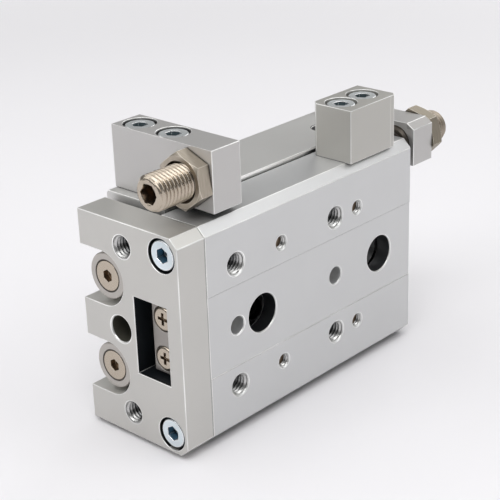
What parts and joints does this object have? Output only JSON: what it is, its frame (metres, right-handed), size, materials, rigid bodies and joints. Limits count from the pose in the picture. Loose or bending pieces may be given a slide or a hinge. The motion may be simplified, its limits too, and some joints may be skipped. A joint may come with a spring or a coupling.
{
  "type": "pneumatic slide table",
  "caption": "Air slide table: cylinder body, table with end plate on a crossed-roller guide, and a threaded stroke adjuster with lock nut at each end.",
  "frame": {"origin": "centre of the body's mounting face, midway between its two through holes", "axes": "+X to the rear along the stroke (the table extends towards -X), +Y out of the body's mounting face, +Z across the width towards the adjusters"},
  "size_m": [0.0951, 0.0313, 0.066],
  "materials": {
    "anodised_body": "satin clear anodised",
    "anodised_table": "satin clear anodised",
    "anodised_block": "fine milled and clear anodised",
    "machined_aluminium": "turned",
    "guide_steel": "ground, hardened",
    "bush_steel": "turned",
    "nickel": "nickel plated",
    "zinc_steel": "blue zinc plated",
    "black_steel": "black oxide",
    "bronzed_steel": "thread locked",
    "spring_steel": "phosphated",
    "hard_chrome": "ground and polished",
    "seal_rubber": "moulded",
    "wear_resin": "moulded",
    "magnet": "bonded magnet",
    "bumper_urethane": "moulded urethane",
    "cage_brass": "pressed strip"
  },
  "bodies": {
    "base": {"body": "anodised_body", "guide_rail": "guide_steel", "rail_screws": "black_steel", "front_rail_plate": "guide_steel", "front_plate_screws": "nickel", "rear_rail_plate": "guide_steel", "rear_plate_screws": "nickel", "rod_covers": "machined_aluminium", "rod_seals": "seal_rubber", "cover_o_rings": "seal_rubber", "front_rings": "spring_steel", "head_caps": "machined_aluminium", "cap_o_rings": "seal_rubber", "rear_rings": "spring_steel", "port_plug": "black_steel", "front_block": "anodised_block", "front_block_screws": "zinc_steel", "front_lock_nut": "nickel", "rear_bracket": "anodised_block", "rear_bracket_screws": "zinc_steel", "rear_lock_nut": "nickel"},
    "moving_table": {"table": "anodised_table", "end_plate": "anodised_table", "end_plate_screws": "zinc_steel", "upper_guide_block": "guide_steel", "lower_guide_block": "guide_steel", "guide_screws": "bronzed_steel", "stopper_block": "anodised_block", "stopper_screws": "zinc_steel", "floating_bushes": "bush_steel", "bush_screws": "nickel", "piston_rods": "hard_chrome", "pistons": "machined_aluminium", "piston_seals": "seal_rubber", "piston_magnets": "magnet", "wear_rings": "wear_resin", "piston_bumpers": "bumper_urethane"},
    "upper_cage_set": {"upper_cage": "cage_brass", "upper_rollers": "hard_chrome"},
    "lower_cage_set": {"lower_cage": "cage_brass", "lower_rollers": "hard_chrome"},
    "front_bumper_carrier": {"front_bumper": "bumper_urethane"},
    "front_bolt_screw": {"front_bolt": "nickel"},
    "rear_bumper_carrier": {"rear_bumper": "bumper_urethane"},
    "rear_bolt_screw": {"rear_bolt": "nickel"}
  },
  "joints": [
    {"name": "table_slide", "type": "slide", "parent": "base", "child": "moving_table", "axis": [-1, 0, 0], "range_m": [0, 0.032]},
    {"name": "upper_cage_slide", "type": "slide", "parent": "base", "child": "upper_cage_set", "axis": [-1, 0, 0], "range_m": [0, 0.016]},
    {"name": "lower_cage_slide", "type": "slide", "parent": "base", "child": "lower_cage_set", "axis": [-1, 0, 0], "range_m": [0, 0.016]},
    {"name": "front_adjuster_advance", "type": "slide", "parent": "base", "child": "front_bumper_carrier", "axis": [-1, 0, 0], "range_m": [0, 0.004]},
    {"name": "front_adjuster_turn", "type": "hinge", "parent": "front_bumper_carrier", "child": "front_bolt_screw", "pos_m": [-0.02924, -0.0237, 0.0332], "axis": [-1, 0, 0], "range_deg": [0, 1440]},
    {"name": "rear_adjuster_advance", "type": "slide", "parent": "base", "child": "rear_bumper_carrier", "axis": [1, 0, 0], "range_m": [0, 0.004]},
    {"name": "rear_adjuster_turn", "type": "hinge", "parent": "rear_bumper_carrier", "child": "rear_bolt_screw", "pos_m": [0.04076, -0.0252, 0.023], "axis": [1, 0, 0], "range_deg": [0, 1440]}
  ],
  "couplings": [
    {"joint": "upper_cage_slide", "follows": "table_slide", "ratio": 0.5},
    {"joint": "lower_cage_slide", "follows": "table_slide", "ratio": 0.5},
    {"joint": "front_adjuster_turn", "follows": "front_adjuster_advance", "rad_per_m": 6283.2},
    {"joint": "rear_adjuster_turn", "follows": "rear_adjuster_advance", "rad_per_m": 6283.2}
  ]
}
